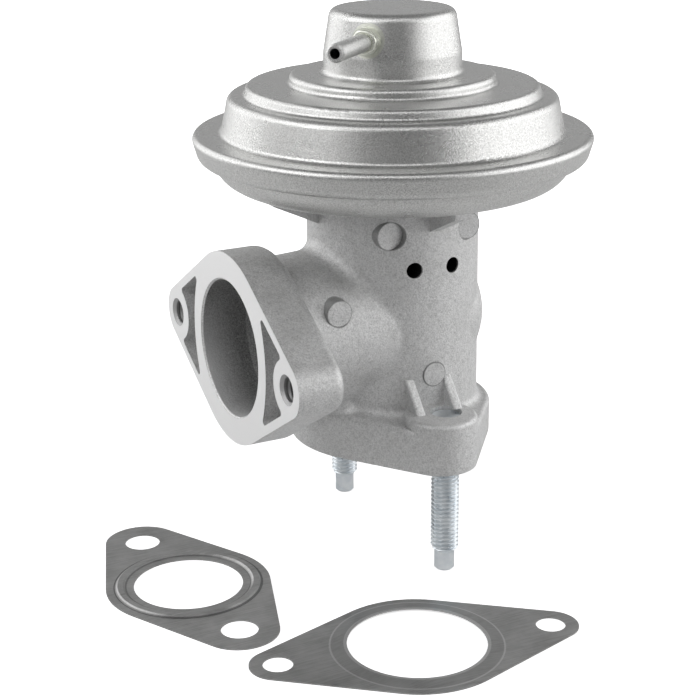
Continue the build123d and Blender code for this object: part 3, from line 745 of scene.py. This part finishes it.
def panel(name, start, end, low, high, radiance):
    """A softbox that spans azimuths in degrees, and heights in metres above the lamps' aim.

    Azimuth 0 is behind the camera and 90 to its right, as the object sees it.
    """
    out = level_way(camera_azimuth + (start + end) / 2)
    half = math.radians((end - start) / 2)
    lamp = bpy.data.lights.new(name, "AREA")
    lamp.shape = "RECTANGLE"
    lamp.size = 2 * lamp_distance * math.tan(half)
    lamp.size_y = high - low
    lamp.energy = radiance * math.pi * lamp.size * lamp.size_y
    made = bpy.data.objects.new(name, lamp)
    made.location = lamp_aim + out * lamp_distance + Vector((0.0, 0.0, (low + high) / 2))
    made.rotation_euler = out.to_track_quat("Z", "Y").to_euler()
    bpy.context.scene.collection.objects.link(made)


# First and last azimuth, lowest and highest height, radiance
panel("left_softbox", -95, -32, 0.24, 1.15, 1.70)
panel("left_rear_softbox", -150, -95, -0.04, 0.80, 1.22)
panel("right_softbox", 45, 140, -0.04, 0.90, 1.38)
panel("front_top_softbox", -32, 45, 0.82, 1.58, 1.40)
panel("back_panel", 150, 210, 0.0, 0.90, 0.24)


def studio_world():
    """World that is white to the camera and a dim grey to everything else."""
    world = bpy.data.worlds.new("studio")
    bpy.context.scene.world = world
    world.use_nodes = True
    shader_nodes = world.node_tree.nodes
    links = world.node_tree.links
    path = shader_nodes.new("ShaderNodeLightPath").outputs
    seen = shader_nodes.new("ShaderNodeMath")
    seen.operation = "ADD"
    seen.use_clamp = True
    links.new(path["Is Camera Ray"], seen.inputs[0])
    links.new(path["Is Transmission Ray"], seen.inputs[1])
    strength = shader_nodes.new("ShaderNodeMath")
    strength.operation = "MULTIPLY_ADD"
    links.new(seen.outputs[0], strength.inputs[0])
    strength.inputs[1].default_value = 1.0 - world_light
    strength.inputs[2].default_value = world_light
    background = shader_nodes["Background"]
    background.inputs["Color"].default_value = (1.0, 1.0, 1.0, 1.0)
    links.new(strength.outputs[0], background.inputs["Strength"])


studio_world()


def floor_finish():
    """Floor that is white to the camera and a grey cloth with a darker band in front."""
    band_start, band_fade, band_end, end_fade = 0.09, 0.12, 0.32, 0.20
    near_shade, band_shade, far_shade = 0.62, 0.24, 0.44
    glow_here, glow_rise, mirrored_glow = 0.62, 1.2, 0.12

    f = Finish("white_floor", 0.0)
    out = level_way(camera_azimuth)
    path = f.add("ShaderNodeLightPath").outputs
    seen = f.math("ADD", path["Is Camera Ray"], path["Is Transmission Ray"], clamp=True)
    mirrored = f.math("MULTIPLY", path["Is Glossy Ray"], mirrored_glow)
    x, y, z = f.split()
    ahead = f.math("ADD", f.math("MULTIPLY", x, out.x), f.math("MULTIPLY", y, out.y))
    band = f.math("DIVIDE", f.math("SUBTRACT", ahead, band_start), band_fade, clamp=True)
    beyond = f.math("DIVIDE", f.math("SUBTRACT", ahead, band_end), end_fade, clamp=True)
    weave = f.spread(f.noise(0.2), 0.0, 0.04)
    shade = f.mix(beyond, f.mix(band, near_shade, band_shade), far_shade)
    shade = f.math("ADD", shade, weave)
    cloth = f.join(shade, shade, shade)
    material = f.done(f.blend(seen, cloth, (0.85, 0.85, 0.85)), 0.9)
    glow = f.math("ADD", glow_here, f.math("MULTIPLY", f.length(x, y), glow_rise))
    f.shader.inputs["Emission Color"].default_value = (1.0, 1.0, 1.0, 1.0)
    glow = f.math("ADD", f.math("MULTIPLY", seen, glow), mirrored)
    f.feed(f.shader.inputs["Emission Strength"], glow)
    return material


floor_mesh = bpy.data.meshes.new("floor")
floor_mesh.from_pydata(
    [
        (x * floor_half, y * floor_half, ground - floor_gap)
        for x, y in ((-1, -1), (1, -1), (1, 1), (-1, 1))
    ],
    [],
    [(0, 1, 2, 3)],
)
floor_mesh.materials.append(floor_finish())
floor = bpy.data.objects.new("floor", floor_mesh)
bpy.context.scene.collection.objects.link(floor)

camera_data = bpy.data.cameras.new("camera")
camera_data.lens = camera_lens
camera_data.sensor_width = 36.0
camera_data.clip_start = 0.02
camera_data.clip_end = 20.0
camera = bpy.data.objects.new("camera", camera_data)
camera.location = camera_place
camera_turn = Matrix.Rotation(math.radians(camera_azimuth), 4, "Z")
camera_tilt = Matrix.Rotation(math.radians(camera_pitch), 4, "X")
camera_spin = Matrix.Rotation(math.radians(camera_roll), 4, "Z")
camera.rotation_euler = (camera_turn @ camera_tilt @ camera_spin).to_euler()
bpy.context.scene.collection.objects.link(camera)
bpy.context.scene.camera = camera
bpy.context.scene.view_settings.view_transform = "Standard"
